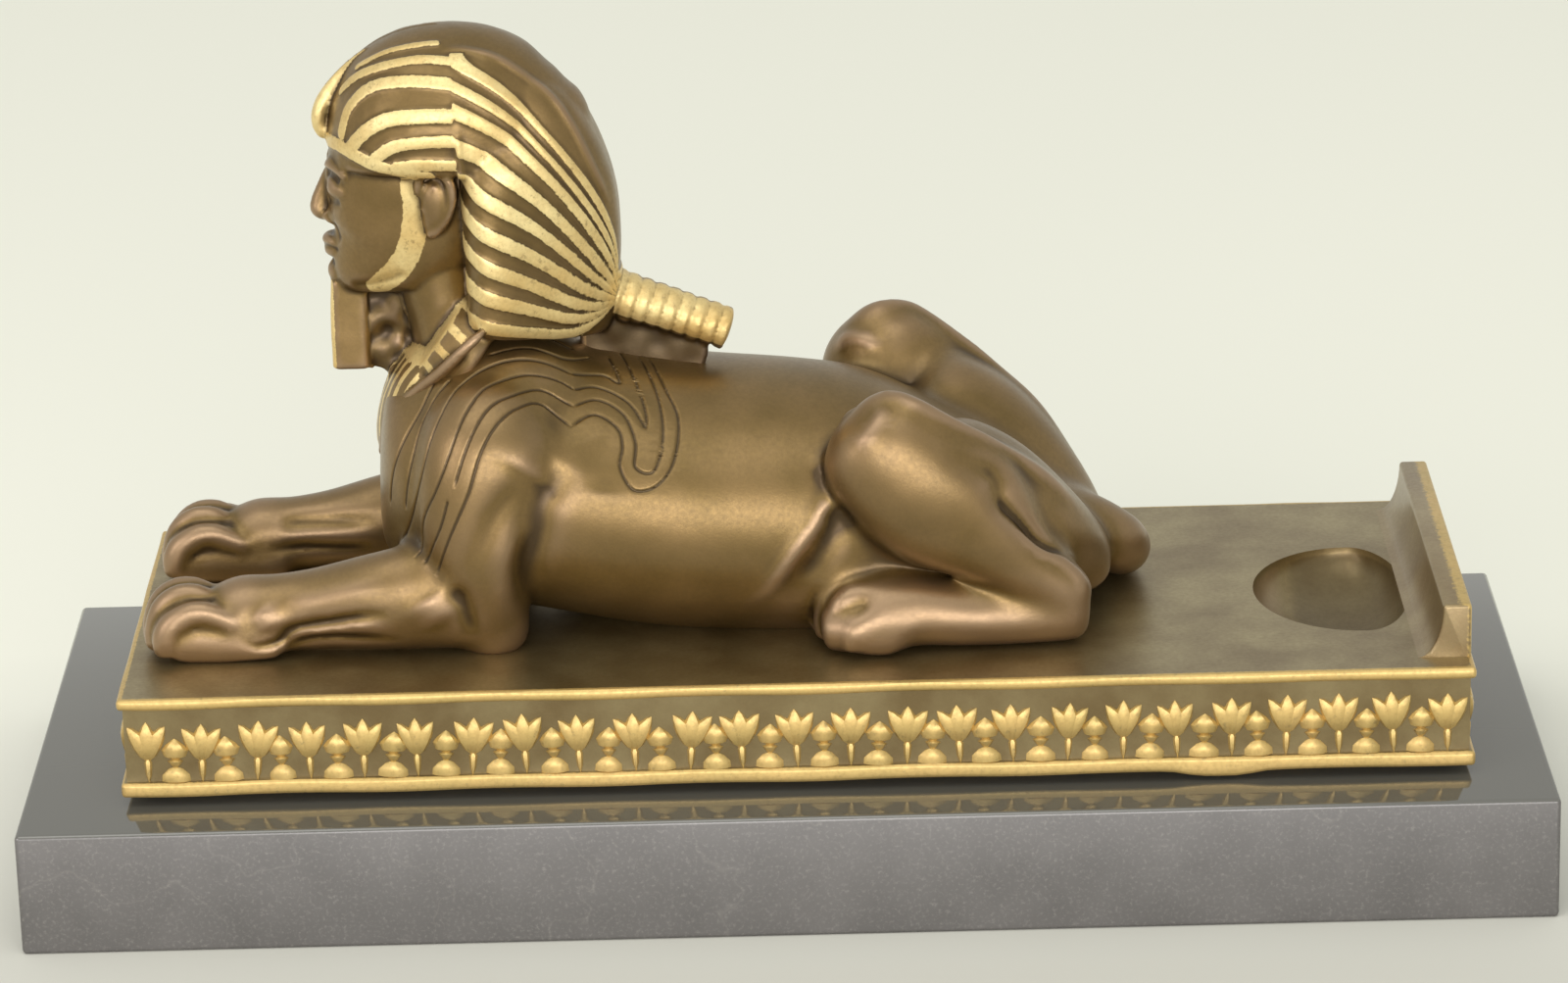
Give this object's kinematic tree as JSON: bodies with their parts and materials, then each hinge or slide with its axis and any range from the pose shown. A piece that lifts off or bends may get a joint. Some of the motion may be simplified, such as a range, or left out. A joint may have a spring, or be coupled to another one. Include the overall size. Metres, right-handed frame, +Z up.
{
  "type": "sphinx statuette",
  "caption": "Recumbent sphinx in dark bronze with a gilt striped headcloth, on a bronze plinth with a lotus frieze, a sunk bowl and an end wall, mounted on a black marble slab.",
  "frame": {"origin": "middle of the marble slab's underside", "axes": "+X runs along the slab from the sphinx's head end to its bowl end, so the sphinx faces -X; +Y is the sphinx's right; +Z is up"},
  "size_m": [0.3, 0.125, 0.1691],
  "materials": {
    "black_marble": "polished top, honed sides",
    "plinth_bronze": "satin bronze with gilt relief",
    "figure_bronze": "satin brown patina with gilt bands"
  },
  "bodies": {
    "root": {"marble_slab": "black_marble", "bronze_plinth": "plinth_bronze", "sphinx_figure": "figure_bronze"}
  },
  "joints": []
}
